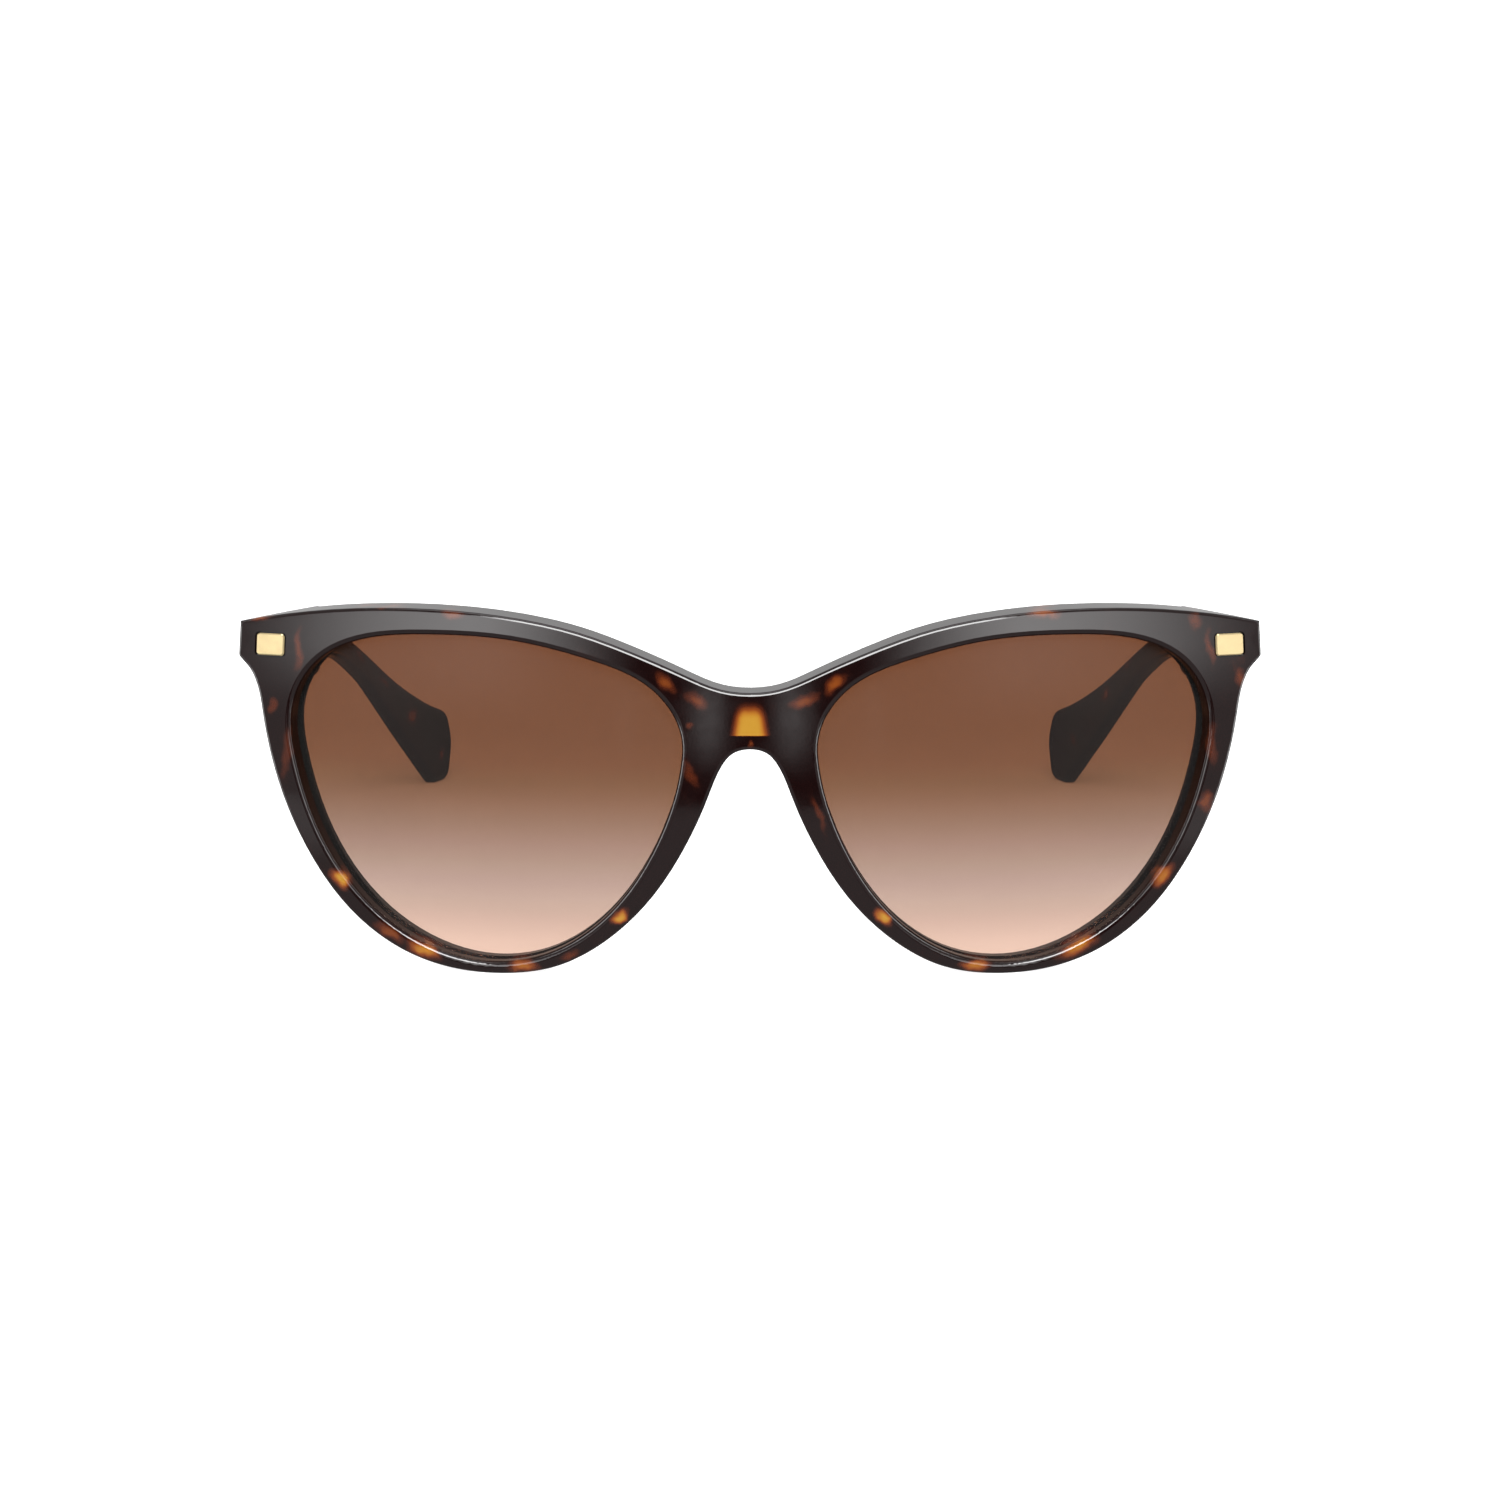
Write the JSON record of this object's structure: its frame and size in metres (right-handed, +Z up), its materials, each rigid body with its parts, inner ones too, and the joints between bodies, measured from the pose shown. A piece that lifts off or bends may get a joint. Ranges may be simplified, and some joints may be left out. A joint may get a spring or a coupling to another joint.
{
  "type": "cat eye sunglasses",
  "caption": "Cat eye sunglasses with a curved acetate front, graded lenses in grooved rims, small gold plates and temples that fold on screw hinges.",
  "frame": {"origin": "on the surface it stands on, under the middle of the whole open sunglasses", "axes": "+Z up, +Y from the front back towards the temple tips, +X towards the wearer's left"},
  "size_m": [0.1442, 0.1494, 0.0518],
  "materials": {
    "acetate": "polished dark tortoise acetate with amber patches",
    "lens": "brown tint, dark at the top and pale pinkish at the bottom",
    "gold": "polished gold plate",
    "hinge_metal": "nickel silver, satin",
    "screw_metal": "polished steel",
    "wire_metal": "nickel silver, drawn"
  },
  "bodies": {
    "front": {"front_frame": "acetate", "lens_right": "lens", "lens_left": "lens", "nose_pad_right": "acetate", "nose_pad_left": "acetate", "plaque_right": "gold", "plaque_left": "gold", "front_hinge_right": "hinge_metal", "front_hinge_left": "hinge_metal", "hinge_screw_right": "screw_metal", "hinge_screw_left": "screw_metal"},
    "temple_right": {"temple_right": "acetate", "temple_hinge_right": "hinge_metal", "core_wire_right": "wire_metal"},
    "temple_left": {"temple_left": "acetate", "temple_hinge_left": "hinge_metal", "core_wire_left": "wire_metal"}
  },
  "joints": [
    {"name": "fold_right", "type": "hinge", "parent": "front", "child": "temple_right", "pos_m": [-0.0638, -0.05374, 0.0446], "axis": [0, 0, -1], "range_deg": [0, 78]},
    {"name": "fold_left", "type": "hinge", "parent": "front", "child": "temple_left", "pos_m": [0.0638, -0.05374, 0.0446], "axis": [0, 0, 1], "range_deg": [0, 86]}
  ]
}
